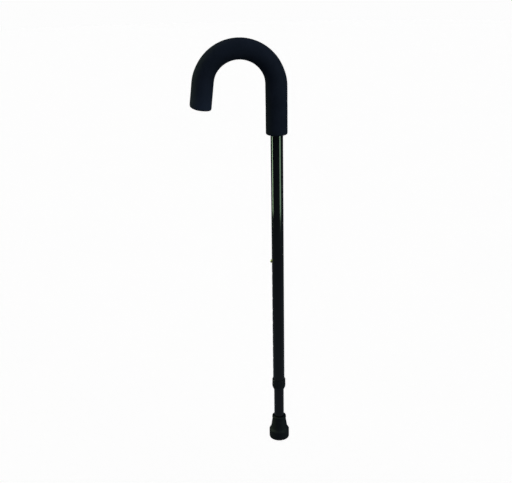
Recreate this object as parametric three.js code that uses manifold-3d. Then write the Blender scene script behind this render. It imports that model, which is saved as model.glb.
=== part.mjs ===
// Height-adjustable walking cane with a crook handle.
//
// A bent upper tube carries a foam grip. A lower tube slides inside it and is held by a sprung snap button
// that comes out through one of a row of holes. A lock nut squeezes a split ring onto the lower tube so that
// the joint doesn't rattle, and a rubber tip stands on the ground.
//
// Millimetres, +Z up. The origin is the centre of the rubber tip's ground face. The shaft stands on the Z axis
// and the hook reaches towards -X, as do the button and the row of holes.

import * as THREE from 'three';
import { mergeVertices } from 'three/addons/utils/BufferGeometryUtils.js';
import Module from 'manifold-3d';

const wasm = await Module();
wasm.setup();

// ---------------------------------------------------------------------------------------------------------
// Driving dimensions
// ---------------------------------------------------------------------------------------------------------

// Tubes
const UPPER_RADIUS = 11.11; // 22.22 mm (7/8 inch) tube
const LOWER_RADIUS = 9.525; // 19.05 mm (3/4 inch) tube
const TUBE_WALL = 1.24;
const UPPER_BORE = UPPER_RADIUS - TUBE_WALL;
const LOWER_BORE = LOWER_RADIUS - TUBE_WALL;
const FIT_GAP = 0.25; // what touching pieces keep clear of each other

// Height setting: a row of holes down the -X side, with the button in the topmost one
const HOLE_COUNT = 10;
const HOLE_PITCH = 25.4;
const HOLE_RADIUS = 3.45;
const TOP_HOLE_HEIGHT = 378.2;

// Crook: a straight shaft, a bend of constant radius, and a short straight nose
const BEND_START = 702.2;
const BEND_RADIUS = 63.5;
const BEND_ANGLE = THREE.MathUtils.degToRad(173);
const GRIP_START = 616.5;
const GRIP_RADIUS = 19.2;
const GRIP_NOSE = 44.7; // how far the foam runs along the nose, past the end of the bend
const TUBE_NOSE = 40; // how far the tube inside it runs

// Lock nut and thread
const UPPER_END = 117; // the upper tube's lower end, inside the nut
const THREAD_PITCH = 2.5;
const THREAD_TURNS = 5;
const THREAD_DEPTH = 0.5;
const NUT_TOP = 130.4;
const NUT_BOTTOM = 109.5;
const NUT_RADIUS = 13.1;
const NUT_LIP = 1.4; // the nut's floor under the split ring

// Rubber tip
const TIP_HEIGHT = 47.9;
const TIP_FOOT_RADIUS = 19.6;
const TIP_FOOT_HEIGHT = 17; // the cylindrical foot, up to the shoulder
const TIP_NECK_RADIUS = 16.3; // at the bottom of the neck
const TIP_MOUTH_RADIUS = 13.1; // at its top, below the bead
const TIP_FLOOR = 5; // rubber under the steel washer
const WASHER_THICKNESS = 1.5;

// Snap button
const BUTTON_RADIUS = 3.15;
const BUTTON_REACH = UPPER_RADIUS + 3; // how far its dome stands out from the shaft's axis
const FLANGE_OUTSIDE = 6.95; // its flange, inside the lower tube
const FLANGE_THICKNESS = 1;
const FLANGE_INSIDE = FLANGE_OUTSIDE - FLANGE_THICKNESS;
const STRIP_THICKNESS = 0.6; // the spring strip behind it

// Fineness of the round surfaces
const SIDES = 32;
const GRIP_SIDES = 24;
const TIP_SIDES = 36;
const SMALL_SIDES = 20;
const BEND_STEPS = 20;

// ---------------------------------------------------------------------------------------------------------
// Shared shapes
// ---------------------------------------------------------------------------------------------------------

/** A point of a turned profile or a flat outline. */
const at = (x, y) => new THREE.Vector2(x, y);

/** A closed geometry as a solid that can be cut or joined. */
function toSolid(geometry) {
  const bare = geometry.clone();
  bare.deleteAttribute('normal');
  bare.deleteAttribute('uv');
  const welded = mergeVertices(bare);
  const vertProperties = welded.attributes.position.array;
  const triVerts = new Uint32Array(welded.index.array);
  return new wasm.Manifold(new wasm.Mesh({ numProp: 3, vertProperties, triVerts }));
}

/** A cut or joined solid back as a geometry. */
function toGeometry(solid) {
  const { vertProperties, triVerts } = solid.getMesh();
  const geometry = new THREE.BufferGeometry();
  geometry.setAttribute('position', new THREE.BufferAttribute(vertProperties, 3));
  geometry.setIndex(new THREE.BufferAttribute(triVerts, 1));
  return geometry;
}

/** base with every cutter taken away. */
function cut(base, cutters) {
  return toGeometry(cutters.reduce((solid, cutter) => solid.subtract(toSolid(cutter)), toSolid(base)));
}

/** A profile of (radius, height) points, anticlockwise with the radius to the right, turned about +Z. */
function turned(profile, sides) {
  return new THREE.LatheGeometry(profile, sides).rotateX(Math.PI / 2);
}

/** A plain ring about +Z. */
function ring(inner, outer, bottom, top) {
  const profile = [at(inner, bottom), at(outer, bottom), at(outer, top), at(inner, top), at(inner, bottom)];
  return turned(profile, SIDES);
}

/** The points of a circle, in order. */
function circle(radius, sides) {
  const angles = Array.from({ length: sides }, (_, i) => (2 * Math.PI * i) / sides);
  return angles.map((angle) => at(radius * Math.cos(angle), radius * Math.sin(angle)));
}

/** A drill along X, through the -X wall of both tubes. */
function wallDrill(radius, height) {
  const reach = 2 * UPPER_RADIUS;
  const drill = new THREE.CylinderGeometry(radius, radius, reach, SMALL_SIDES);
  return drill.rotateZ(Math.PI / 2).translate(-reach / 2 - LOWER_BORE / 2, 0, height);
}

// ---------------------------------------------------------------------------------------------------------
// The crook's centreline
// ---------------------------------------------------------------------------------------------------------

/** Where the centreline is after turning by angle round the bend, and which way it runs. */
function bendStation(angle) {
  const [cos, sin] = [Math.cos(angle), Math.sin(angle)];
  return {
    point: new THREE.Vector3(BEND_RADIUS * (cos - 1), 0, BEND_START + BEND_RADIUS * sin),
    tangent: new THREE.Vector3(-sin, 0, cos),
  };
}

/** A station further along the straight nose. */
function noseStation(distance) {
  const { point, tangent } = bendStation(BEND_ANGLE);
  return { point: point.addScaledVector(tangent, distance), tangent };
}

/** The centreline from a height on the shaft to a distance along the nose, with all its steps on the bend. */
class CrookPath extends THREE.Curve {
  constructor(shaftHeight, noseDistance) {
    super();
    const foot = { point: new THREE.Vector3(0, 0, shaftHeight), tangent: new THREE.Vector3(0, 0, 1) };
    const bend = Array.from({ length: BEND_STEPS + 1 }, (_, i) => bendStation((BEND_ANGLE * i) / BEND_STEPS));
    this.stations = [foot, ...bend, noseStation(noseDistance)];
  }

  get steps() {
    return this.stations.length - 1;
  }

  getPointAt(share) {
    return this.stations[Math.round(share * this.steps)].point.clone();
  }

  getTangentAt(share) {
    return this.stations[Math.round(share * this.steps)].tangent.clone();
  }
}

/** A round tube along the crook's centreline, open at both ends. */
function crookTube(path, outer, inner, sides) {
  const section = new THREE.Shape(circle(outer, sides));
  section.holes.push(new THREE.Path(circle(inner, sides)));
  return new THREE.ExtrudeGeometry(section, { steps: path.steps, extrudePath: path, bevelEnabled: false });
}

// ---------------------------------------------------------------------------------------------------------
// Upper body
// ---------------------------------------------------------------------------------------------------------

/** The rolled thread on the upper tube's lower end, as one groove for each turn. */
function threadGrooves() {
  const root = UPPER_RADIUS - THREAD_DEPTH;
  const clear = UPPER_RADIUS + 1;
  const flankAngle = THREE.MathUtils.degToRad(30);
  const flank = (clear - root) * Math.tan(flankAngle);
  const firstGroove = UPPER_END + 0.7 * THREAD_PITCH;
  return Array.from({ length: THREAD_TURNS }, (_, turn) => {
    const height = firstGroove + THREAD_PITCH * turn;
    const profile = [at(root, height), at(clear, height - flank), at(clear, height + flank), at(root, height)];
    return turned(profile, SIDES);
  });
}

function upperTube() {
  const tube = crookTube(new CrookPath(UPPER_END, TUBE_NOSE), UPPER_RADIUS, UPPER_BORE, SIDES);
  const heights = Array.from({ length: HOLE_COUNT }, (_, i) => TOP_HOLE_HEIGHT - i * HOLE_PITCH);
  return cut(tube, [...heights.map((height) => wallDrill(HOLE_RADIUS, height)), ...threadGrooves()]);
}

function foamGrip() {
  return crookTube(new CrookPath(GRIP_START, GRIP_NOSE), GRIP_RADIUS, UPPER_RADIUS + FIT_GAP, GRIP_SIDES);
}

/** The plug in the tube's nose end. It is turned about +Z, with its head up and its underside at 0. */
function nosePlug() {
  const headRadius = UPPER_RADIUS - FIT_GAP;
  const headThickness = 2.6;
  const crown = 0.8;
  const stemRadius = UPPER_BORE - FIT_GAP;
  const stemLength = 12;
  const stemWall = 1.6;
  const profile = [
    at(0, -crown),
    at(stemRadius - stemWall, -crown),
    at(stemRadius - stemWall, -stemLength),
    at(stemRadius, -stemLength),
    at(stemRadius, 0),
    at(headRadius, 0),
    at(headRadius, headThickness - crown),
    at(headRadius - 2 * crown, headThickness),
    at(0, headThickness),
  ];
  return turned(profile, SIDES);
}

// ---------------------------------------------------------------------------------------------------------
// Lock nut and split ring
// ---------------------------------------------------------------------------------------------------------

/** The nut: a collar that tapers in to its lower end, hollow over the thread and the split ring. */
function lockNut() {
  const threadBore = UPPER_RADIUS + FIT_GAP;
  const exitBore = LOWER_RADIUS + FIT_GAP;
  const ringSeat = exitBore + 0.6; // the cone's narrow end, over the split ring
  const coneTop = UPPER_END - 0.3;
  const widest = NUT_BOTTOM + 7;
  const draft = 0.3; // how much narrower it is at the top than at its widest
  const chamfer = 0.6;
  const profile = [
    at(exitBore, NUT_BOTTOM),
    at(NUT_RADIUS - 2.4, NUT_BOTTOM),
    at(NUT_RADIUS - 1.2, NUT_BOTTOM + 1.8),
    at(NUT_RADIUS - 0.3, NUT_BOTTOM + 4.2),
    at(NUT_RADIUS, widest),
    at(NUT_RADIUS - draft, NUT_TOP - chamfer),
    at(NUT_RADIUS - draft - chamfer, NUT_TOP),
    at(threadBore, NUT_TOP),
    at(threadBore, coneTop),
    at(ringSeat, NUT_BOTTOM + NUT_LIP),
    at(exitBore, NUT_BOTTOM + NUT_LIP),
    at(exitBore, NUT_BOTTOM),
  ];
  return cut(turned(profile, SIDES), nutFlutes(widest - 3));
}

/** The finger grooves round the nut, running up from a height. */
function nutFlutes(bottom) {
  const count = 20;
  const fluteRadius = 1.2;
  const fluteSides = 10;
  const root = NUT_RADIUS - 0.6;
  const length = NUT_TOP + 1 - bottom;
  return Array.from({ length: count }, (_, i) => {
    const flute = new THREE.CylinderGeometry(fluteRadius, fluteRadius, length, fluteSides);
    flute.rotateX(Math.PI / 2).translate(root + fluteRadius, 0, bottom + length / 2);
    return flute.rotateZ((2 * Math.PI * i) / count);
  });
}

/** The tapered plastic ring that the nut squeezes onto the lower tube, slit down its +X side. */
function splitRing() {
  const bore = LOWER_RADIUS + FIT_GAP;
  const top = UPPER_END - FIT_GAP;
  const bottom = NUT_BOTTOM + NUT_LIP + 0.6;
  const thinEnd = 0.45;
  const thickness = 1;
  const collar = 1.2; // the plain part above the taper
  const slitWidth = 1.6;
  const profile = [
    at(bore, bottom),
    at(bore + thinEnd, bottom),
    at(bore + thickness, top - collar),
    at(bore + thickness, top),
    at(bore, top),
    at(bore, bottom),
  ];
  const slit = new THREE.BoxGeometry(UPPER_RADIUS, slitWidth, 2 * (top - bottom));
  slit.translate(LOWER_RADIUS + FIT_GAP, 0, (top + bottom) / 2);
  return cut(turned(profile, SIDES), [slit]);
}

// ---------------------------------------------------------------------------------------------------------
// Lower body
// ---------------------------------------------------------------------------------------------------------

const LOWER_TUBE_BOTTOM = TIP_FLOOR + WASHER_THICKNESS + 2 * FIT_GAP;
const LOWER_TUBE_TOP = TOP_HOLE_HEIGHT + 27;

function lowerTube() {
  const tube = ring(LOWER_BORE, LOWER_RADIUS, LOWER_TUBE_BOTTOM, LOWER_TUBE_TOP);
  return cut(tube, [wallDrill(HOLE_RADIUS, TOP_HOLE_HEIGHT)]);
}

/** The flanged plastic bush in the lower tube's top end, which guides it in the upper tube's bore. */
function guideBushing() {
  const flangeBottom = LOWER_TUBE_TOP + FIT_GAP;
  const flangeTop = flangeBottom + 3;
  const skirtRadius = LOWER_BORE - FIT_GAP;
  const flangeRadius = UPPER_BORE - FIT_GAP;
  const skirtLength = 10;
  const bore = 6.4;
  const chamfer = 0.6;
  const profile = [
    at(bore, LOWER_TUBE_TOP - skirtLength),
    at(skirtRadius, LOWER_TUBE_TOP - skirtLength),
    at(skirtRadius, flangeBottom),
    at(flangeRadius, flangeBottom),
    at(flangeRadius, flangeTop - chamfer),
    at(flangeRadius - chamfer, flangeTop),
    at(bore, flangeTop),
    at(bore, LOWER_TUBE_TOP - skirtLength),
  ];
  return turned(profile, SIDES);
}

/** The domed brass button, turned about its own axis, with distances from the shaft's axis along +Z. */
function snapButton() {
  const flangeRadius = 4.2;
  const domeHeight = 1.3;
  const domeSteps = 4;
  const dome = Array.from({ length: domeSteps + 1 }, (_, i) => {
    const angle = (Math.PI / 2) * (i / domeSteps);
    return at(BUTTON_RADIUS * Math.cos(angle), BUTTON_REACH - domeHeight * (1 - Math.sin(angle)));
  });
  dome[domeSteps].x = 0;
  const profile = [
    at(0, FLANGE_INSIDE),
    at(flangeRadius, FLANGE_INSIDE),
    at(flangeRadius, FLANGE_OUTSIDE),
    at(BUTTON_RADIUS, FLANGE_OUTSIDE),
    ...dome,
  ];
  return turned(profile, SMALL_SIDES);
}

/** The outline of the spring strip along a line of points. */
function stripOutline(line) {
  const side = (sign) =>
    line.map((point, i) => {
      const from = line[Math.max(i - 1, 0)];
      const to = line[Math.min(i + 1, line.length - 1)];
      const along = to.clone().sub(from).normalize();
      return at(-along.y, along.x).multiplyScalar((sign * STRIP_THICKNESS) / 2).add(point);
    });
  return new THREE.Shape([...side(-1), ...side(1).reverse()]);
}

/** The V-shaped spring strip: one leg backs the button, the other bears on the far wall of the lower tube. */
function buttonSpring() {
  const width = 6.4;
  const foldRadius = 3;
  const foldHeight = TOP_HOLE_HEIGHT - 30;
  const foldSteps = 6;
  const straightBottom = TOP_HOLE_HEIGHT - 6;
  const straightTop = TOP_HOLE_HEIGHT + 8;
  const buttonLegX = -(FLANGE_INSIDE - FIT_GAP - STRIP_THICKNESS / 2);
  const farLegX = LOWER_BORE - 1.3; // as near the round wall as the flat strip's edges come
  const fold = Array.from({ length: foldSteps + 1 }, (_, i) => {
    const angle = Math.PI * (1 + i / foldSteps);
    return at(foldRadius * Math.cos(angle), foldHeight + foldRadius * Math.sin(angle));
  });
  const line = [
    at(buttonLegX, straightTop),
    at(buttonLegX, straightBottom),
    ...fold,
    at(farLegX, straightBottom),
    at(farLegX, straightTop),
  ];
  const strip = new THREE.ExtrudeGeometry(stripOutline(line), { depth: width, bevelEnabled: false });
  return strip.translate(0, 0, -width / 2).rotateX(Math.PI / 2);
}

/** The moulded rubber tip: ringed ground face, cylindrical foot, tapering neck and a bead round its mouth. */
function rubberTip() {
  const bore = LOWER_RADIUS + FIT_GAP;
  const treadDepth = 1.5;
  const grooveWidth = 2.5;
  const beadRadius = TIP_MOUTH_RADIUS + 0.6;
  const beadBottom = TIP_HEIGHT - 5.8;
  const groove = (inner) => [
    at(inner, 0),
    at(inner, treadDepth),
    at(inner + grooveWidth, treadDepth),
    at(inner + grooveWidth, 0),
  ];
  const profile = [
    at(0, 0),
    ...groove(5),
    ...groove(11),
    at(TIP_FOOT_RADIUS - 0.7, 0),
    at(TIP_FOOT_RADIUS - 0.15, 0.8),
    at(TIP_FOOT_RADIUS, 2.5),
    at(TIP_FOOT_RADIUS, TIP_FOOT_HEIGHT),
    at(TIP_FOOT_RADIUS - 0.6, TIP_FOOT_HEIGHT + 1.6),
    at(TIP_NECK_RADIUS, TIP_FOOT_HEIGHT + 4.4),
    at(TIP_MOUTH_RADIUS, beadBottom),
    at(beadRadius, beadBottom + 1.4),
    at(beadRadius, TIP_HEIGHT - 1.8),
    at(beadRadius - 0.9, TIP_HEIGHT),
    at(bore, TIP_HEIGHT),
    at(bore, TIP_FLOOR),
    at(0, TIP_FLOOR),
  ];
  return turned(profile, TIP_SIDES);
}

/** The steel disc in the tip that the lower tube stands on, so that it can't cut through the rubber. */
function tipWasher() {
  const bottom = TIP_FLOOR + FIT_GAP;
  const radius = LOWER_RADIUS - FIT_GAP;
  const profile = [at(0, bottom), at(radius, bottom), at(radius, bottom + WASHER_THICKNESS)];
  return turned([...profile, at(0, bottom + WASHER_THICKNESS)], SMALL_SIDES);
}

// ---------------------------------------------------------------------------------------------------------
// Materials and assembly
// ---------------------------------------------------------------------------------------------------------

const finish = (color, roughness, metalness) => ({ color, roughness, metalness });
const BLACK_ANODISED = finish(0x0b0d10, 0.22, 0.9);
const BLACK_FOAM = finish(0x111521, 0.9, 0);
const BLACK_NYLON = finish(0x0e1114, 0.5, 0);
const BLACK_RUBBER = finish(0x0f1215, 0.75, 0);
const WHITE_NYLON = finish(0xd9d6cc, 0.5, 0);
const BRASS = finish(0xc2a24c, 0.3, 1);
const SPRING_STEEL = finish(0xa8abb0, 0.35, 1);

/** A named mesh of one piece. */
function piece(name, geometry, look) {
  const mesh = new THREE.Mesh(geometry, new THREE.MeshStandardMaterial(look));
  mesh.name = name;
  return mesh;
}

/** The plug set on the end of the bent tube, its head facing out along the nose. */
function placedNosePlug() {
  const plug = piece('nose_plug', nosePlug(), BLACK_NYLON);
  const { point, tangent } = noseStation(TUBE_NOSE + FIT_GAP);
  plug.position.copy(point);
  plug.quaternion.setFromUnitVectors(new THREE.Vector3(0, 0, 1), tangent);
  return plug;
}

/** The button in its hole, its dome facing -X. */
function placedSnapButton() {
  const button = piece('snap_button', snapButton(), BRASS);
  button.position.z = TOP_HOLE_HEIGHT;
  button.rotation.y = -Math.PI / 2;
  return button;
}

function upperBody() {
  const body = new THREE.Group();
  body.add(piece('upper_tube', upperTube(), BLACK_ANODISED));
  body.add(piece('foam_grip', foamGrip(), BLACK_FOAM));
  body.add(placedNosePlug());
  return body;
}

function heightLock() {
  const lock = new THREE.Group();
  lock.add(piece('lock_nut', lockNut(), BLACK_NYLON));
  lock.add(piece('split_ring', splitRing(), WHITE_NYLON));
  return lock;
}

function lowerBody() {
  const body = new THREE.Group();
  body.add(piece('lower_tube', lowerTube(), BLACK_ANODISED));
  body.add(piece('guide_bushing', guideBushing(), WHITE_NYLON));
  body.add(piece('button_spring', buttonSpring(), SPRING_STEEL));
  body.add(placedSnapButton());
  body.add(piece('rubber_tip', rubberTip(), BLACK_RUBBER));
  body.add(piece('tip_washer', tipWasher(), SPRING_STEEL));
  return body;
}

const cane = new THREE.Group();
cane.add(upperBody(), heightLock(), lowerBody());

export default cane;
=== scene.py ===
"""The looks of a height-adjustable crook walking cane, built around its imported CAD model.

Metres, +Z up. The shaft stands on the Z axis, and the hook, the button and the holes are on its -X side.
"""

import math

import bmesh
import bpy
from mathutils import Matrix, Vector, noise


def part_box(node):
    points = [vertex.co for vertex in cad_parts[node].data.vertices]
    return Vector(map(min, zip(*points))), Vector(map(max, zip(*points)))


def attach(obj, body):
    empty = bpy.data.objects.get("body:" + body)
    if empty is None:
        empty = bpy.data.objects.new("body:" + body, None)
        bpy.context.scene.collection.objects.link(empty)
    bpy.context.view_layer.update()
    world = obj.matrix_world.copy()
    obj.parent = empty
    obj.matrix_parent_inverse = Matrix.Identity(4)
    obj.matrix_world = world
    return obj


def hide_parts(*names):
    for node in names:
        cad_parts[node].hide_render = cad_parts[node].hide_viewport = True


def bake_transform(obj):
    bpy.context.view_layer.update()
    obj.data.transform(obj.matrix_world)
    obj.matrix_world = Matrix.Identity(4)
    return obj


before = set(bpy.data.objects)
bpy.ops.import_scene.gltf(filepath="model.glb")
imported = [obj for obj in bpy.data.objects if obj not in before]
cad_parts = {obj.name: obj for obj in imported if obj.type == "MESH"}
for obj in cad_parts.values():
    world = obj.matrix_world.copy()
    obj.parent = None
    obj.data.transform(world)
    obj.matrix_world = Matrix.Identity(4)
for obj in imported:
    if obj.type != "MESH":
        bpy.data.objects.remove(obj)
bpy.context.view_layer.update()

MM = 0.001
TAU = 2 * math.pi

# ---------------------------------------------------------------------------------------------------------
# Dimensions
# ---------------------------------------------------------------------------------------------------------

# The CAD's own numbers that its boxes don't give
BEND_RADIUS = 63.5 * MM
BEND_ANGLE = math.radians(173)
TUBE_NOSE = 40 * MM  # straight tube past the end of the bend
GRIP_NOSE = 44.7 * MM  # straight foam past the end of the bend
TUBE_WALL = 1.24 * MM
HOLE_COUNT = 10
HOLE_PITCH = 25.4 * MM
HOLE_RADIUS = 3.45 * MM
THREAD_PITCH = 2.5 * MM
THREAD_TURNS = 5
THREAD_DEPTH = 0.5 * MM
STRIP_THICKNESS = 0.6 * MM  # of the button's spring
FIT_GAP = 0.25 * MM

# The numbers that the CAD's boxes give
UPPER_LOW, UPPER_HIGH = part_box("upper_tube")
LOWER_LOW, LOWER_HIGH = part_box("lower_tube")
NUT_LOW, NUT_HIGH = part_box("lock_nut")
BUTTON_LOW, BUTTON_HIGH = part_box("snap_button")
SPRING_LOW, SPRING_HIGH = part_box("button_spring")
UPPER_RADIUS = UPPER_HIGH.x
LOWER_RADIUS = LOWER_HIGH.x
UPPER_BORE = UPPER_RADIUS - TUBE_WALL
LOWER_BORE = LOWER_RADIUS - TUBE_WALL
BEND_START = UPPER_HIGH.z - UPPER_RADIUS - BEND_RADIUS
BEND_LENGTH = BEND_RADIUS * BEND_ANGLE
GRIP_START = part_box("foam_grip")[0].z
GRIP_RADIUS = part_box("foam_grip")[1].x
TIP_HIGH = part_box("rubber_tip")[1]
BUTTON_HEIGHT = (BUTTON_LOW.z + BUTTON_HIGH.z) / 2

# How finely the round pieces are divided
TUBE_SIDES = 96
GRIP_SIDES = 112
TIP_SIDES = 96
PLUG_SIDES = 64
BUTTON_SIDES = 48
ARC_STEPS = 5  # steps that round off a corner

# ---------------------------------------------------------------------------------------------------------
# Mesh tools
# ---------------------------------------------------------------------------------------------------------


def piece(name, shape, material, body, slot, *nodes):
    """A new object from a shape that stands for CAD nodes, in its material, riding on a body."""
    mesh = bpy.data.meshes.new(name)
    bmesh.ops.recalc_face_normals(shape, faces=shape.faces)
    shape.to_mesh(mesh)
    shape.free()
    mesh.shade_smooth()
    mesh.set_sharp_from_angle(angle=math.radians(40))
    mesh.materials.append(material)
    made = bpy.data.objects.new(name, mesh)
    bpy.context.scene.collection.objects.link(made)
    if body:
        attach(made, body)
    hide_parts(*nodes)
    return made


def rounded(corners, closed=True):
    """The (station, radius) points of a profile of (station, radius, rounding) corners, rounded off."""
    points = []
    for i, (station, radius, rounding) in enumerate(corners):
        here = Vector((station, radius))
        at_end = not closed and i in (0, len(corners) - 1)
        if at_end or rounding == 0:
            points.append(here)
            continue
        before = Vector(corners[i - 1][:2]) - here
        after = Vector(corners[(i + 1) % len(corners)][:2]) - here
        reach = rounding / math.tan(before.angle(after) / 2)
        start = here + before.normalized() * min(reach, before.length / 2)
        end = here + after.normalized() * min(reach, after.length / 2)
        for step in range(ARC_STEPS + 1):
            t = step / ARC_STEPS
            points.append(start * (1 - t) ** 2 + here * (2 * t * (1 - t)) + end * t ** 2)
    return [(point.x, point.y) for point in points]


def spaced(rows, step):
    """Rows with more put in between, so that no two are further apart than a step."""
    filled = []
    for (station, radius), (next_station, next_radius) in zip(rows, rows[1:] + rows[:1]):
        count = max(1, math.ceil(abs(next_station - station) / step))
        for i in range(count):
            share = i / count
            filled.append((
                station + (next_station - station) * share,
                radius + (next_radius - radius) * share,
            ))
    return filled


def turned(station, radius, turn):
    """Where a row's point is on a piece turned about +Z."""
    return Vector((radius * math.cos(turn), radius * math.sin(turn), station))


def crook(distance):
    """A point of the crook's centreline, a distance past its bend's start, and the bend's outward way."""
    angle = min(max(distance / BEND_RADIUS, 0.0), BEND_ANGLE)
    out = Vector((math.cos(angle), 0, math.sin(angle)))
    along = Vector((-math.sin(angle), 0, math.cos(angle)))
    centre = Vector((-BEND_RADIUS, 0, BEND_START))
    return centre + out * BEND_RADIUS + along * (distance - angle * BEND_RADIUS), out


def round_crook(station, radius, turn):
    """Where a row's point is on a tube that follows the crook."""
    point, out = crook(station)
    return point + (out * math.cos(turn) + Vector((0, math.sin(turn), 0))) * radius


def join_rings(shape, low, high):
    """Quads between two rings of vertices, and triangles where one ring is a single point."""
    for j, vertex in enumerate(low):
        after = (j + 1) % len(low)
        corners = dict.fromkeys([vertex, low[after], high[after], high[j]])
        if None not in corners:
            shape.faces.new(corners)


def join_all(shape, rings, closed=False):
    """Faces from each ring to the next, and from the last to the first where they close."""
    for low, high in zip(rings, rings[1:] + rings[:1] if closed else rings[1:]):
        join_rings(shape, low, high)


def make_ring(shape, station, radius, place, sides):
    """The vertices of one row, or one vertex used for all of them where the row has no radius."""
    if radius == 0:
        return [shape.verts.new(place(station, 0, 0))] * sides
    return [shape.verts.new(place(station, radius, TAU * j / sides)) for j in range(sides)]


def loft(rows, place, sides, closed=True):
    """A solid through (station, radius) rows. The last meets the first if it is closed, as in a pipe."""
    shape = bmesh.new()
    rings = [make_ring(shape, station, radius, place, sides) for station, radius in rows]
    join_all(shape, rings, closed)
    return shape


# ---------------------------------------------------------------------------------------------------------
# Drilled tubes
# ---------------------------------------------------------------------------------------------------------

# The patch of a tube's wall round a hole, whose faces run into the hole's edge instead of along the tube
PATCH_COLUMNS = 16  # of the tube's sides
PATCH_ROWS = 12
PATCH_REACH = 5.2 * MM  # from the hole's middle, up and down
PATCH_FIRST = (TUBE_SIDES - PATCH_COLUMNS) // 2
PATCH_LAST = PATCH_FIRST + PATCH_COLUMNS
PATCH_SHARES = (0.4, 0.75, 0.92)  # how far its rings are from its border to the hole
HOLE_EDGE = 0.22 * MM  # how far a hole's edge is rounded
HOLE_EDGE_STEPS = 3
TUBE_STEP = 8 * MM  # the furthest apart that a drilled tube's rows are
RIM_STEPS = 6
RIM_BULGE = 0.3 * MM  # how far the middle of a tube's cut end stands out


def drilled_stations(start, end, holes, step):
    """Stations along a tube, close together beside each hole. Gives them and each patch's first index."""
    stations = [start]
    firsts = []

    def run_to(goal):
        count = max(1, math.ceil((goal - stations[-1]) / step))
        first = stations[-1]
        stations.extend(first + (goal - first) * (i + 1) / count for i in range(count))

    for hole in sorted(holes):
        run_to(hole - PATCH_REACH)
        firsts.append(len(stations) - 1)
        bottom = stations[-1]
        stations.extend(bottom + 2 * PATCH_REACH * (i + 1) / PATCH_ROWS for i in range(PATCH_ROWS))
    run_to(end)
    return stations, firsts


def drilled_wall(shape, rows, place, firsts):
    """One side of a tube's wall, open in a patch round each hole. Gives its rings and patch borders."""

    def inside(i, j):
        in_rows = any(first < i < first + PATCH_ROWS for first in firsts)
        return in_rows and PATCH_FIRST < j < PATCH_LAST

    rings = [
        [
            None if inside(i, j) else shape.verts.new(place(station, radius, TAU * j / TUBE_SIDES))
            for j in range(TUBE_SIDES)
        ]
        for i, (station, radius) in enumerate(rows)
    ]
    join_all(shape, rings)
    borders = []
    for first in firsts:
        last = first + PATCH_ROWS
        bottom = [rings[first][j] for j in range(PATCH_FIRST, PATCH_LAST)]
        right = [rings[i][PATCH_LAST] for i in range(first, last)]
        top = [rings[last][j] for j in range(PATCH_LAST, PATCH_FIRST, -1)]
        left = [rings[i][PATCH_FIRST] for i in range(last, first, -1)]
        borders.append(bottom + right + top + left)
    return rings, borders


def line_hole(shape, worn, outer_border, inner_border, outer_radius, inner_radius, height):
    """The patches round a hole in the -X wall and the hole's own surface, worn bare at its edges."""

    def on_wall(wall_radius, y, z, inset):
        return Vector((inset - math.sqrt(wall_radius ** 2 - y ** 2), y, z))

    angles = [math.atan2(vertex.co.z - height, vertex.co.y) for vertex in outer_border]

    def circle(wall_radius, reach, inset, bare):
        ring = []
        for angle in angles:
            y, z = reach * math.cos(angle), height + reach * math.sin(angle)
            ring.append(shape.verts.new(on_wall(wall_radius, y, z, inset)))
            ring[-1][worn] = bare
        return ring

    def between(wall_radius, border, share):
        reach = HOLE_RADIUS + HOLE_EDGE
        ring = []
        for vertex, angle in zip(border, angles):
            y = vertex.co.y + (reach * math.cos(angle) - vertex.co.y) * share
            z = vertex.co.z + (height + reach * math.sin(angle) - vertex.co.z) * share
            ring.append(shape.verts.new(on_wall(wall_radius, y, z, 0)))
        return ring

    def edge(wall_radius, side):
        rings = []
        for step in range(HOLE_EDGE_STEPS + 1):
            bend = math.pi / 2 * step / HOLE_EDGE_STEPS
            reach = HOLE_RADIUS + HOLE_EDGE * (1 - math.sin(bend))
            inset = side * HOLE_EDGE * (1 - math.cos(bend))
            rings.append(circle(wall_radius, reach, inset, float(step > 0)))
        return rings

    rings = [outer_border]
    rings += [between(outer_radius, outer_border, share) for share in PATCH_SHARES]
    rings += edge(outer_radius, 1)
    rings += reversed(edge(inner_radius, -1))
    rings += [between(inner_radius, inner_border, share) for share in reversed(PATCH_SHARES)]
    rings.append(inner_border)
    join_all(shape, rings)


def drilled_tube(outer_rows, inner_rows, place, holes, firsts, base=0):
    """A tube from outer and inner rows at the same stations, of which 0 is at the base height."""
    shape = bmesh.new()
    worn = shape.verts.layers.float.new("worn")
    outer, outer_borders = drilled_wall(shape, outer_rows, place, firsts)
    inner, inner_borders = drilled_wall(shape, inner_rows, place, firsts)
    for end in (0, -1):
        add_rim(shape, worn, outer[end], inner[end])
    radii = outer_rows[-1][1], inner_rows[-1][1]
    for hole, outside, inside in zip(sorted(holes), outer_borders, inner_borders):
        line_hole(shape, worn, outside, inside, *radii, hole + base)
    return shape


def add_rim(shape, worn, outer, inner):
    """The cut end of a tube's wall between its outer and inner rings, rounded over and worn bare."""
    corner = outer[0].co
    along = (corner - inner[0].co).cross(outer[1].co - corner).normalized()
    from_wall = corner - outer[0].link_faces[0].calc_center_median()
    if along.dot(from_wall) < 0:
        along = -along
    rings = [outer]
    for step in range(1, RIM_STEPS):
        share = step / RIM_STEPS
        lift = along * RIM_BULGE * math.sin(math.pi * share) ** 0.5
        ring = [shape.verts.new(a.co.lerp(b.co, share) + lift) for a, b in zip(outer, inner)]
        for vertex in ring:
            vertex[worn] = 1.0
        rings.append(ring)
    rings.append(inner)
    join_all(shape, rings)


# ---------------------------------------------------------------------------------------------------------
# Material tools
# ---------------------------------------------------------------------------------------------------------


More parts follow.
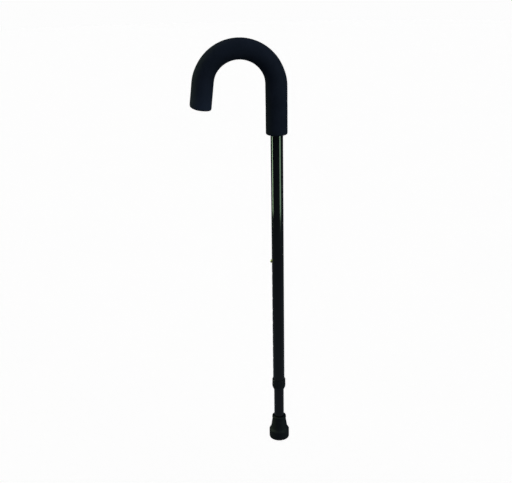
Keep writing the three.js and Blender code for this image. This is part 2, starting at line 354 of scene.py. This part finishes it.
class Look:
    """A node material being built. Values that are the same all over sit on the shader's own sockets."""

    def __init__(self, name, **fixed):
        self.material = bpy.data.materials.new(name)
        self.material.use_nodes = True
        self.tree = self.material.node_tree
        self.shader = self.tree.nodes["Principled BSDF"]
        self.coordinates = self.tree.nodes.new("ShaderNodeTexCoord").outputs["Object"]
        for socket, value in fixed.items():
            self.shader.inputs[socket.replace("_", " ")].default_value = value

    def node(self, kind, settings=None, **inputs):
        """A node with its settings, and with values or other nodes' outputs on its sockets."""
        made = self.tree.nodes.new(kind)
        for name, value in (settings or {}).items():
            setattr(made, name, value)
        for name, value in inputs.items():
            socket = made.inputs[name.replace("_", " ")]
            if isinstance(value, bpy.types.NodeSocket):
                self.tree.links.new(value, socket)
            else:
                socket.default_value = value
        return made

    def link(self, source, socket):
        """An output put on one of the shader's sockets."""
        self.tree.links.new(source, self.shader.inputs[socket])

    def stretched(self, x, y, z):
        """The object's coordinates, scaled along each axis."""
        return self.node("ShaderNodeMapping", Vector=self.coordinates, Scale=(x, y, z)).outputs["Vector"]

    def noise(self, size, detail=3.0, vector=None):
        """Noise whose lumps are about a size across."""
        made = self.node(
            "ShaderNodeTexNoise",
            Vector=vector or self.coordinates,
            Scale=1 / size,
            Detail=detail,
            Roughness=0.55,
        )
        return made.outputs["Fac"]

    def cells(self, size):
        """The distance to the middles of scattered cells about a size across."""
        made = self.node("ShaderNodeTexVoronoi", Vector=self.coordinates, Scale=1 / size)
        return made.outputs["Distance"]

    def ramp(self, factor, low, high, start=0.3, end=0.7):
        """A factor from start to end, as a value from low to high."""
        made = self.node(
            "ShaderNodeMapRange",
            Value=factor,
            From_Min=start,
            From_Max=end,
            To_Min=low,
            To_Max=high,
        )
        return made.outputs["Result"]

    def mix(self, factor, first, second):
        """Two colours mixed by a factor. Each is an output or three numbers."""
        made = self.tree.nodes.new("ShaderNodeMix")
        made.data_type = "RGBA"
        self.tree.links.new(factor, made.inputs[0])
        # The node has sockets for each kind of data, and 6, 7 and the output 2 are its colours
        for socket, value in ((made.inputs[6], first), (made.inputs[7], second)):
            if isinstance(value, bpy.types.NodeSocket):
                self.tree.links.new(value, socket)
            else:
                socket.default_value = (*value, 1)
        return made.outputs[2]

    def combine(self, operation, first, second):
        """Two values put together by a math operation."""
        made = self.node("ShaderNodeMath", {"operation": operation})
        self.tree.links.new(first, made.inputs[0])
        self.tree.links.new(second, made.inputs[1])
        return made.outputs["Value"]

    def bump(self, *layers):
        """Relief from (height, depth in metres, strength) layers, laid over each other."""
        normal = None
        for height, depth, strength in layers:
            made = self.node("ShaderNodeBump", Height=height, Distance=depth, Strength=strength)
            if normal:
                self.tree.links.new(normal, made.inputs["Normal"])
            normal = made.outputs["Normal"]
        self.link(normal, "Normal")


def painted_nose_light(look):
    """A value that grows from 0 to 1 down the hook's nose, where the foam is painted paler: painted light,
    standing in for light from below.
    """
    place = look.node("ShaderNodeSeparateXYZ", Vector=look.coordinates)
    on_nose = look.ramp(place.outputs["X"], 1, 0, -110 * MM, -85 * MM)
    lowness = look.ramp(place.outputs["Z"], 1, 0, 655 * MM, 720 * MM)
    return look.combine("MULTIPLY", on_nose, lowness)


def foam_look():
    """Closed-cell foam rubber: blue-black, matte, with a fine skin of small cells."""
    look = Look("black_foam", Specular_IOR_Level=0.05)
    patches = look.noise(22 * MM, 2.0)
    speckle = look.noise(1.1 * MM, 2.0)
    tone = look.mix(look.ramp(patches, 0, 1), (0.0115, 0.0178, 0.0325), (0.0160, 0.0240, 0.0440))
    # painted light: down the nose the foam is mixed towards a paler blue, as if lit from below
    tone = look.mix(painted_nose_light(look), tone, (0.0260, 0.0420, 0.0780))
    tone = look.mix(look.ramp(speckle, 0, 0.6, 0.45, 0.75), tone, (0.0220, 0.0305, 0.0520))
    look.link(tone, "Base Color")
    look.link(look.ramp(look.noise(6 * MM), 0.78, 0.93), "Roughness")
    look.bump(
        (look.noise(9 * MM, 2.0), 0.5 * MM, 0.25),
        (look.cells(0.75 * MM), 0.12 * MM, 0.55),
        (look.noise(0.3 * MM, 2.0), 0.05 * MM, 0.5),
    )
    return look.material


def anodised_look():
    """Gloss black anodised tube: drawing lines along it, faint orange peel, and bare metal where worn."""
    look = Look("black_anodised_tube")
    lines = look.noise(1 * MM, 3.0, look.stretched(1, 1, 0.012))
    mottle = look.noise(35 * MM, 2.0)
    black = look.mix(look.ramp(mottle, 0, 1), (0.0040, 0.0050, 0.0068), (0.0060, 0.0075, 0.0100))
    black = look.mix(look.ramp(lines, 0, 0.5, 0.55, 0.8), black, (0.0125, 0.0150, 0.0175))
    worn = look.node("ShaderNodeAttribute", {"attribute_name": "worn"}).outputs["Fac"]
    scuffs = look.noise(0.8 * MM, 3.0)
    bare = look.combine("MULTIPLY", worn, look.ramp(scuffs, 0.35, 1, 0.35, 0.6))
    look.link(look.mix(bare, black, (0.46, 0.47, 0.49)), "Base Color")
    look.link(bare, "Metallic")
    roughness = look.combine("ADD", look.ramp(lines, 0.07, 0.12), look.ramp(bare, 0, 0.2, 0, 1))
    look.link(roughness, "Roughness")
    look.bump(
        (look.noise(5 * MM, 2.0), 0.04 * MM, 0.12),
        (lines, 0.01 * MM, 0.15),
    )
    return look.material


def nylon_look():
    """Black moulded nylon: satin, with a fine spark-eroded grain."""
    look = Look("black_nylon", Specular_IOR_Level=0.3)
    mottle = look.ramp(look.noise(9 * MM), 0, 1)
    look.link(look.mix(mottle, (0.0045, 0.0067, 0.0112), (0.0078, 0.0106, 0.0168)), "Base Color")
    look.link(look.ramp(look.noise(2.5 * MM), 0.40, 0.56), "Roughness")
    look.bump((look.noise(0.45 * MM, 2.0), 0.05 * MM, 0.35), (look.noise(4 * MM), 0.1 * MM, 0.1))
    return look.material


def rubber_look():
    """Black moulded rubber: matte, mottled and faintly dusty in patches."""
    look = Look("black_rubber", Specular_IOR_Level=0.22)
    mottle = look.ramp(look.noise(12 * MM), 0, 1)
    tone = look.mix(mottle, (0.0046, 0.0078, 0.0130), (0.0084, 0.0125, 0.0190))
    dust = look.ramp(look.noise(5 * MM, 5.0), 0, 0.35, 0.55, 0.8)
    look.link(look.mix(dust, tone, (0.0270, 0.0300, 0.0330)), "Base Color")
    look.link(look.ramp(look.noise(3 * MM), 0.58, 0.78), "Roughness")
    look.bump((look.noise(0.6 * MM, 3.0), 0.08 * MM, 0.4), (look.noise(6 * MM), 0.3 * MM, 0.12))
    return look.material


def brass_look():
    """Turned brass, a little tarnished."""
    look = Look("brass_button", Metallic=1.0)
    tarnish = look.ramp(look.noise(1.4 * MM, 4.0), 0, 1, 0.35, 0.7)
    look.link(look.mix(tarnish, (0.95, 0.90, 0.46), (0.82, 0.74, 0.30)), "Base Color")
    look.link(look.ramp(look.noise(0.7 * MM), 0.3, 0.46), "Roughness")
    look.bump((look.noise(0.25 * MM, 2.0), 0.01 * MM, 0.3))
    return look.material


def white_nylon_look():
    """Natural nylon: warm white and slightly cloudy."""
    look = Look("white_nylon")
    clouds = look.ramp(look.noise(4 * MM), 0, 1)
    look.link(look.mix(clouds, (0.70, 0.68, 0.60), (0.62, 0.59, 0.50)), "Base Color")
    look.link(look.ramp(look.noise(1.5 * MM), 0.35, 0.5), "Roughness")
    look.bump((look.noise(0.4 * MM, 2.0), 0.03 * MM, 0.3))
    return look.material


def steel_look():
    """Rolled steel with brushed lines along the strip."""
    look = Look("spring_steel", Metallic=1.0)
    lines = look.noise(0.3 * MM, 3.0, look.stretched(1, 1, 0.03))
    look.link(look.mix(look.ramp(lines, 0, 1), (0.40, 0.41, 0.43), (0.56, 0.57, 0.59)), "Base Color")
    look.link(look.ramp(lines, 0.24, 0.42), "Roughness")
    look.bump((lines, 0.01 * MM, 0.3))
    return look.material


# ---------------------------------------------------------------------------------------------------------
# Upper body
# ---------------------------------------------------------------------------------------------------------


def smooth_step(value):
    """A value from 0 to 1, held at both ends and eased between them."""
    held = min(max(value, 0), 1)
    return held * held * (3 - 2 * held)


def foam_radius(station):
    """The grip's radius: the foam is stretched a little thinner all round the bend."""
    thinning = 0.88 * MM
    run_in = 28 * MM
    stretched = smooth_step(station / run_in) * smooth_step((BEND_LENGTH - station) / run_in)
    return GRIP_RADIUS - thinning * stretched


def nose_cut(station, radius, turn):
    """How far the grip's nose end is past a square cut: less outside the bend, where it is worn."""
    run_in = 12 * MM
    outward = math.cos(turn)
    share = radius / GRIP_RADIUS
    longer = 1.1 * MM
    slant = 0.5 * MM * outward * share
    worn = 2.6 * MM * max(outward, 0) ** 2 * share ** 3
    nearness = smooth_step(1 - (BEND_LENGTH + GRIP_NOSE - station) / run_in)
    return nearness * (longer - slant - worn)


def foam_point(station, radius, turn):
    """Where a point of the foam is, with the slight unevenness of foam pulled over a bent tube."""
    station += nose_cut(station, radius, turn)
    plain = round_crook(station, radius, turn)
    skin_depth = 3 * MM  # further in, the end faces and the bore stay even
    if radius < GRIP_RADIUS - skin_depth:
        return plain
    height = 0.1 * MM
    lump = 14 * MM
    unevenness = height * noise.noise(plain / lump)
    return round_crook(station, radius + unevenness - height / 2, turn)


def foam_grip(material):
    """The foam sleeve over the crook, with rounded ends."""
    start = GRIP_START - BEND_START
    end = BEND_LENGTH + GRIP_NOSE
    bore = UPPER_RADIUS + 0.1 * MM
    bore_rounding = 0.5 * MM
    ends = rounded([
        (start, bore, bore_rounding),
        (start, foam_radius(start), 3.6 * MM),
        (end, foam_radius(end), 4.0 * MM),
        (end, bore, bore_rounding),
    ])
    rows = []
    for station, radius in spaced(ends, 2 * MM):
        on_skin = radius > GRIP_RADIUS - 0.01 * MM
        rows.append((station, foam_radius(station) if on_skin else radius))
    made = piece(
        "grip_foam", loft(rows, foam_point, GRIP_SIDES), material, "upper", "black_foam", "foam_grip"
    )


def thread_rows(start):
    """The rolled thread from a tube's lower end upwards, as rows over each groove."""
    # One side of a groove: distances from its middle, and shares of its depth
    side = ((0.8 * MM, 0), (0.45 * MM, 0.25), (0.12 * MM, 1))
    groove = [(-offset, depth) for offset, depth in side] + list(reversed(side))
    first_groove = 0.7 * THREAD_PITCH
    rows = []
    for turn in range(THREAD_TURNS):
        middle = start + first_groove + THREAD_PITCH * turn
        rows += [(middle + offset, UPPER_RADIUS - THREAD_DEPTH * depth) for offset, depth in groove]
    return rows


def upper_tube(material):
    """The bent tube. Its stations are distances past the start of the bend, negative on the shaft."""
    holes = [BUTTON_HEIGHT - BEND_START - i * HOLE_PITCH for i in range(HOLE_COUNT)]
    start = UPPER_LOW.z - BEND_START
    thread = thread_rows(start)
    above_thread = thread[-1][0] + 1 * MM
    stations, firsts = drilled_stations(above_thread, 0, holes, TUBE_STEP)
    end = BEND_LENGTH + TUBE_NOSE
    crook_steps = 96
    stations += [end * (i + 1) / crook_steps for i in range(crook_steps)]
    lead = [(start, UPPER_RADIUS), (start + 0.5 * MM, UPPER_RADIUS)]
    outer = lead + thread + [(station, UPPER_RADIUS) for station in stations]
    inner = [(station, UPPER_BORE) for station, radius in outer]
    skipped = len(lead) + len(thread)
    firsts = [first + skipped for first in firsts]
    shape = drilled_tube(outer, inner, round_crook, holes, firsts, base=BEND_START)
    piece("tube_upper", shape, material, "upper", "black_anodised_tube", "upper_tube")


def nose_plug(material):
    """The domed plug in the tube's nose end, hollow in its stem."""
    face = BEND_LENGTH + TUBE_NOSE + 0.35 * MM  # where its head meets the tube's cut end
    head = UPPER_RADIUS - FIT_GAP
    stem = UPPER_BORE - FIT_GAP
    hollow = stem - 1.6 * MM
    hollow_end = face - 1.2 * MM
    stem_end = face - 11.5 * MM
    dome = face + 2.3 * MM
    edge = 0.3 * MM
    rows = rounded([
        (hollow_end, 0, 0),
        (hollow_end, hollow, edge),
        (stem_end, hollow, edge),
        (stem_end, stem, edge),
        (face, stem, 0.1 * MM),
        (face, head, edge),
        (face + 1.6 * MM, head, 0.8 * MM),
        (dome, head * 0.45, 3 * MM),
        (dome, 0, 0),
    ], closed=False)
    shape = loft(rows, round_crook, PLUG_SIDES, closed=False)
    piece("plug_nose", shape, material, "upper", "black_nylon", "nose_plug")


# ---------------------------------------------------------------------------------------------------------
# Lock nut
# ---------------------------------------------------------------------------------------------------------

# The finger grooves round its outside
FLUTES = 20
FLUTE_RADIUS = 1.3 * MM
FLUTE_DEPTH = 0.7 * MM
FLUTE_START = 3.6 * MM  # above the nut's lower end
FLUTE_RUN_OUT = 2.5 * MM  # the height over which they reach their depth
FLUTE_RISE = 1.2 * MM  # how far their floor comes up at their start

# The holes through it
NUT_THREAD_BORE = UPPER_RADIUS + FIT_GAP
NUT_EXIT_BORE = LOWER_RADIUS + FIT_GAP


def flute_floor(station, offset):
    """How far from the nut's axis a finger groove's surface is, an angle from the groove's middle."""
    middle = NUT_HIGH.x - FLUTE_DEPTH + FLUTE_RADIUS
    across = middle * math.sin(offset)
    if abs(across) >= FLUTE_RADIUS:
        return None
    depth = min(max((station - NUT_LOW.z - FLUTE_START) / FLUTE_RUN_OUT, 0), 1)
    rise = (1 - depth) ** 2 * FLUTE_RISE
    return middle * math.cos(offset) - math.sqrt(FLUTE_RADIUS ** 2 - across ** 2) + rise


def fluted(station, radius, turn):
    """Where a row's point is on the nut, whose outside has finger grooves with softened edges."""
    pitch = TAU / FLUTES
    floor = flute_floor(station, (turn + pitch / 2) % pitch - pitch / 2)
    outside = radius >= NUT_THREAD_BORE + 0.3 * MM  # past the rounded edge of the bore
    if outside and floor is not None:
        softness = 0.12 * MM
        radius, gap = min(radius, floor), abs(radius - floor)
        radius -= softness / 2 * math.exp(-gap / softness)
    return turned(station, radius, turn)


def lock_nut(material):
    """The nut: a tapered collar with finger grooves, hollow over the thread and the split ring."""
    lip = NUT_LOW.z + 1.4 * MM
    profile = rounded([
        (NUT_LOW.z, NUT_EXIT_BORE, 0.2 * MM),
        (NUT_LOW.z, NUT_EXIT_BORE + 1 * MM, 0.5 * MM),
        (NUT_LOW.z + 4.0 * MM, NUT_HIGH.x - 0.45 * MM, 3 * MM),
        (NUT_LOW.z + 7.0 * MM, NUT_HIGH.x - 0.02 * MM, 4 * MM),
        (NUT_HIGH.z, NUT_HIGH.x - 0.3 * MM, 0.7 * MM),
        (NUT_HIGH.z, NUT_THREAD_BORE, 0.2 * MM),
        (UPPER_LOW.z - 0.3 * MM, NUT_THREAD_BORE, 0.2 * MM),
        (lip, NUT_EXIT_BORE + 0.6 * MM, 0.1 * MM),
        (lip, NUT_EXIT_BORE, 0.2 * MM),
    ])
    points_per_flute = 14
    shape = loft(spaced(profile, 0.7 * MM), fluted, FLUTES * points_per_flute)
    piece("nut_lock", shape, material, "nut", "black_nylon", "lock_nut")


# ---------------------------------------------------------------------------------------------------------
# Lower body
# ---------------------------------------------------------------------------------------------------------


def lower_tube(material):
    """The straight tube that slides in the upper one, with the button's hole near its top."""
    holes = [BUTTON_HEIGHT]
    rim = 0.4 * MM
    stations, firsts = drilled_stations(LOWER_LOW.z + rim, LOWER_HIGH.z - rim, holes, TUBE_STEP)
    outer = [(station, LOWER_RADIUS) for station in stations]
    inner = [(station, LOWER_BORE) for station in stations]
    shape = drilled_tube(outer, inner, turned, holes, firsts)
    piece("tube_lower", shape, material, "lower", "black_anodised_tube", "lower_tube")


def snap_button(material):
    """The button, turned about its own axis and laid along -X."""
    reach = -BUTTON_LOW.x
    flange_inside = -BUTTON_HIGH.x
    flange_outside = flange_inside + 1 * MM
    flange_radius = (BUTTON_HIGH.z - BUTTON_LOW.z) / 2
    stem = 3.15 * MM
    dome = 1.6 * MM
    dome_steps = 12
    rows = rounded([
        (flange_inside, 0, 0),
        (flange_inside, flange_radius, 0.2 * MM),
        (flange_outside, flange_radius, 0.2 * MM),
        (flange_outside, stem, 0.1 * MM),
        (reach - dome, stem, 0),
    ], closed=False)
    for step in range(1, dome_steps + 1):
        angle = math.pi / 2 * step / dome_steps
        radius = 0 if step == dome_steps else stem * math.cos(angle)
        rows.append((reach - dome * (1 - math.sin(angle)), radius))
    shape = loft(rows, turned, BUTTON_SIDES, closed=False)
    laid = Matrix.Translation((0, 0, BUTTON_HEIGHT)) @ Matrix.Rotation(-math.pi / 2, 4, "Y")
    bmesh.ops.transform(shape, matrix=laid, verts=shape.verts)
    piece("button_snap", shape, material, "button", "brass_button", "snap_button")


def spring_line():
    """The middle of the spring strip as (x, z) points: down the button's leg, round the fold and up."""
    button_leg = SPRING_LOW.x + STRIP_THICKNESS / 2
    far_leg = SPRING_HIGH.x - STRIP_THICKNESS / 2
    fold_radius = 3 * MM
    fold_height = BUTTON_HEIGHT - 30 * MM
    top = BUTTON_HEIGHT + 8 * MM
    knee = BUTTON_HEIGHT - 6 * MM
    line = [(button_leg, top), (button_leg, BUTTON_HEIGHT), (button_leg, knee)]
    leg_steps = 8
    for i in range(1, leg_steps):
        share = i / leg_steps
        x = button_leg + (-fold_radius - button_leg) * share
        line.append((x, knee + (fold_height - knee) * share))
    fold_steps = 16
    for i in range(fold_steps + 1):
        angle = math.pi * (1 + i / fold_steps)
        line.append((fold_radius * math.cos(angle), fold_height + fold_radius * math.sin(angle)))
    return line + [(far_leg, knee), (far_leg, top)]


def button_spring(material):
    """The strip behind the button: down the button's leg, round the fold and up the far side."""
    line = spring_line()
    half_width = (SPRING_HIGH.y - SPRING_LOW.y) / 2
    half_thickness = STRIP_THICKNESS / 2
    edge = 0.12 * MM
    # The strip's section, as points to its side and out from its middle
    corner = [(half_width - edge, half_thickness), (half_width, half_thickness - edge)]
    one_side = [(side, -out) for side, out in corner] + corner[::-1]
    section = one_side + [(-side, -out) for side, out in one_side]
    shape = bmesh.new()
    rings = []
    for i, point in enumerate(line):
        before, after = line[max(i - 1, 0)], line[min(i + 1, len(line) - 1)]
        along = Vector((after[0] - before[0], after[1] - before[1])).normalized()
        across = Vector((-along.y, along.x))
        rings.append([
            shape.verts.new((point[0] + across.x * out, side, point[1] + across.y * out))
            for side, out in section
        ])
    join_all(shape, rings)
    for ring in (rings[0], rings[-1]):
        shape.faces.new(ring)
    made = piece("strip_spring", shape, material, None, "spring_steel", "button_spring")
    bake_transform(made)


def rubber_tip(material):
    """The moulded ferrule: ringed ground face, foot, shoulder, tapering neck and a beaded mouth."""
    foot_radius = TIP_HIGH.x - 0.02 * MM
    neck_low_radius = 16.3 * MM
    neck_high_radius = 13.1 * MM
    bead_radius = 13.7 * MM
    bore = LOWER_RADIUS + FIT_GAP / 2
    floor = 5 * MM
    shoulder = 17 * MM
    neck = shoulder + 4.4 * MM
    top = TIP_HIGH.z
    grooves = ((5 * MM, 7.5 * MM), (11 * MM, 13.5 * MM))
    groove_depth = 1.5 * MM
    groove_draft = 0.2 * MM
    groove_edge = 0.3 * MM
    corners = [(0, 0, 0)]
    for inner, outer in grooves:
        corners += [
            (0, inner, groove_edge),
            (groove_depth, inner + groove_draft, groove_edge),
            (groove_depth, outer - groove_draft, groove_edge),
            (0, outer, groove_edge),
        ]
    corners += [
        (0, foot_radius - 0.38 * MM, 0.7 * MM),
        (1.6 * MM, foot_radius, 2 * MM),
        (shoulder, foot_radius, 1.2 * MM),
        (neck, neck_low_radius, 1.4 * MM),
        (top - 5.8 * MM, neck_high_radius, 0.5 * MM),
        (top - 4.7 * MM, bead_radius, 0.8 * MM),
        (top, bead_radius, 1.7 * MM),
        (top, bore, 0.5 * MM),
        (floor, bore, 0.3 * MM),
        (floor, 0, 0),
    ]
    rows = rounded(corners, closed=False)
    shape = loft(rows, turned, TIP_SIDES, closed=False)
    piece("tip_rubber", shape, material, "lower", "black_rubber", "rubber_tip")


# ---------------------------------------------------------------------------------------------------------
# Camera, light and stage
# ---------------------------------------------------------------------------------------------------------

CAMERA_DISTANCE = 1.3697  # from the shaft's axis, along the floor
CAMERA_HEIGHT = 0.9111
CAMERA_AZIMUTH = math.radians(-5.5)
CAMERA_DIP = math.radians(19.84)
CAMERA_YAW = math.radians(1.67)  # how far it looks to the left of the shaft
CAMERA_ROLL = math.radians(-1.05)
CAMERA_LENS = 55.53  # mm, for a sensor 36 mm wide
AMBIENT = 0.18  # strength of the backdrop's light, from the side and from above
BACKDROP = 0.98  # how bright the backdrop looks, which the floor matches
FLOOR_GLOW = 0.641  # what the floor adds to its lit colour to match the backdrop
FLOOR_RADIUS = 14
FLOOR_DROP = 0.235  # below the tip at rest, so that the longest setting stays above the floor


def add_camera():
    """The camera, in front of the cane and to its left, looking down at it."""
    heading = CAMERA_AZIMUTH + CAMERA_YAW
    forward = Vector((
        -math.sin(heading) * math.cos(CAMERA_DIP),
        math.cos(heading) * math.cos(CAMERA_DIP),
        -math.sin(CAMERA_DIP),
    ))
    level = forward.cross(Vector((0, 0, 1))).normalized()
    upright = level.cross(forward)
    right = level * math.cos(CAMERA_ROLL) + upright * math.sin(CAMERA_ROLL)
    up = upright * math.cos(CAMERA_ROLL) - level * math.sin(CAMERA_ROLL)
    data = bpy.data.cameras.new("camera")
    data.lens = CAMERA_LENS
    camera = bpy.data.objects.new("camera", data)
    place = Matrix.Identity(4)
    for column, axis in enumerate((right, up, -forward)):
        place.col[column].xyz = axis
    place.translation = (
        CAMERA_DISTANCE * math.sin(CAMERA_AZIMUTH),
        -CAMERA_DISTANCE * math.cos(CAMERA_AZIMUTH),
        CAMERA_HEIGHT,
    )
    camera.matrix_world = place
    bpy.context.scene.collection.objects.link(camera)
    bpy.context.scene.camera = camera


def add_softbox(name, bearing, distance, bottom, height, width, radiance, color):
    """An upright lamp, seen only as a reflection, at a bearing round the shaft to the camera's right."""
    turn = math.radians(bearing) + CAMERA_AZIMUTH
    data = bpy.data.lights.new(name, "AREA")
    data.shape = "RECTANGLE"
    data.size = width
    data.size_y = height
    data.energy = radiance * math.pi * width * height
    data.color = color
    lamp = bpy.data.objects.new(name, data)
    lamp.location = (distance * math.sin(turn), -distance * math.cos(turn), bottom + height / 2)
    facing = Vector((-lamp.location.x, -lamp.location.y, 0))
    lamp.rotation_euler = facing.to_track_quat("-Z", "Y").to_euler()
    lamp.visible_camera = False
    lamp.visible_diffuse = False
    bpy.context.scene.collection.objects.link(lamp)


def add_wide_light(name, bearing, elevation, irradiance, spread):
    """A wide soft light, the same all over the stage, that doesn't show as a reflection."""
    turn = math.radians(bearing) + CAMERA_AZIMUTH
    rise = math.radians(elevation)
    data = bpy.data.lights.new(name, "SUN")
    data.energy = irradiance
    data.angle = math.radians(spread)
    light = bpy.data.objects.new(name, data)
    source = Vector((math.sin(turn) * math.cos(rise), -math.cos(turn) * math.cos(rise), math.sin(rise)))
    light.rotation_euler = (-source).to_track_quat("-Z", "Y").to_euler()
    light.visible_glossy = False
    bpy.context.scene.collection.objects.link(light)


def add_surroundings():
    """A white backdrop that lights the stage softly. The gloss tubes reflect a dark room instead of it."""
    world = bpy.data.worlds.new("studio")
    world.use_nodes = True
    nodes, links = world.node_tree.nodes, world.node_tree.links
    nodes.clear()
    direction = nodes.new("ShaderNodeTexCoord").outputs["Generated"]
    height = nodes.new("ShaderNodeSeparateXYZ")
    links.new(direction, height.inputs[0])
    path = nodes.new("ShaderNodeLightPath")

    def background(color, low, high, below, above):
        """A background whose strength runs from below to above between two heights of the direction."""
        strength = nodes.new("ShaderNodeMapRange")
        links.new(height.outputs["Z"], strength.inputs["Value"])
        for name, value in (("From Min", low), ("From Max", high), ("To Min", below), ("To Max", above)):
            strength.inputs[name].default_value = value
        made = nodes.new("ShaderNodeBackground")
        made.inputs["Color"].default_value = (*color, 1)
        links.new(strength.outputs["Result"], made.inputs["Strength"])
        return made.outputs[0]

    def choose(ray, otherwise, chosen):
        """One background for a kind of ray, and another for the rest."""
        mix = nodes.new("ShaderNodeMixShader")
        links.new(path.outputs[ray], mix.inputs["Fac"])
        links.new(otherwise, mix.inputs[1])
        links.new(chosen, mix.inputs[2])
        return mix.outputs[0]

    white = (1, 1, 1)
    cool = (0.8, 0.95, 1.1)
    ambient = background(white, low=-0.6, high=0.3, below=0.08, above=AMBIENT)
    room = background(cool, low=-0.5, high=-0.18, below=0.17, above=0.03)
    backdrop = background(white, low=0, high=1, below=BACKDROP, above=BACKDROP)
    shown = choose("Is Camera Ray", choose("Is Glossy Ray", ambient, room), backdrop)
    links.new(shown, nodes.new("ShaderNodeOutputWorld").inputs["Surface"])
    bpy.context.scene.world = world


def add_floor():
    """A pale floor, low enough for the cane at its longest. It neither lights the cane nor shows in it."""
    look = Look(
        "pale_floor",
        Roughness=0.9,
        Specular_IOR_Level=0,
        Emission_Color=(1, 1, 1, 1),
        Emission_Strength=FLOOR_GLOW,
    )
    look.link(look.mix(look.noise(0.4, 3.0), (0.93, 0.93, 0.93), (0.96, 0.96, 0.96)), "Base Color")
    shape = bmesh.new()
    bmesh.ops.create_circle(shape, cap_ends=True, radius=FLOOR_RADIUS, segments=96)
    mesh = bpy.data.meshes.new("floor")
    shape.to_mesh(mesh)
    shape.free()
    mesh.materials.append(look.material)
    floor = bpy.data.objects.new("floor", mesh)
    floor.location = (0, 0, -FLOOR_DROP)
    floor.visible_glossy = False
    floor.visible_diffuse = False
    bpy.context.scene.collection.objects.link(floor)


def dress(node, material):
    """A CAD node that stays, in its new material."""
    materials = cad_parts[node].data.materials
    materials.clear()
    materials.append(material)


# ---------------------------------------------------------------------------------------------------------
# The scene
# ---------------------------------------------------------------------------------------------------------

add_camera()
add_surroundings()
add_floor()
add_wide_light("overhead", bearing=0, elevation=90, irradiance=0.36, spread=50)
add_wide_light("side", bearing=58, elevation=20, irradiance=0.62, spread=60)
add_softbox(
    "right", bearing=60, distance=1.2, bottom=0.075, height=0.9, width=0.5, radiance=5.1,
    color=(0.64, 1.0, 0.66),
)
add_softbox(
    "left", bearing=-92.5, distance=1.2, bottom=0.09, height=0.9, width=0.24, radiance=10.5,
    color=(0.68, 1.0, 0.60),
)
add_softbox(
    "high", bearing=-105, distance=1.2, bottom=0.8, height=0.8, width=0.9, radiance=6.5,
    color=(0.80, 1.0, 0.66),
)
bpy.context.scene.view_settings.view_transform = "Standard"

anodised = anodised_look()
nylon = nylon_look()
white_nylon = white_nylon_look()
steel = steel_look()

foam_grip(foam_look())
upper_tube(anodised)
nose_plug(nylon)
lock_nut(nylon)
lower_tube(anodised)
snap_button(brass_look())
button_spring(steel)
rubber_tip(rubber_look())
dress("split_ring", white_nylon)
dress("guide_bushing", white_nylon)
dress("tip_washer", steel)
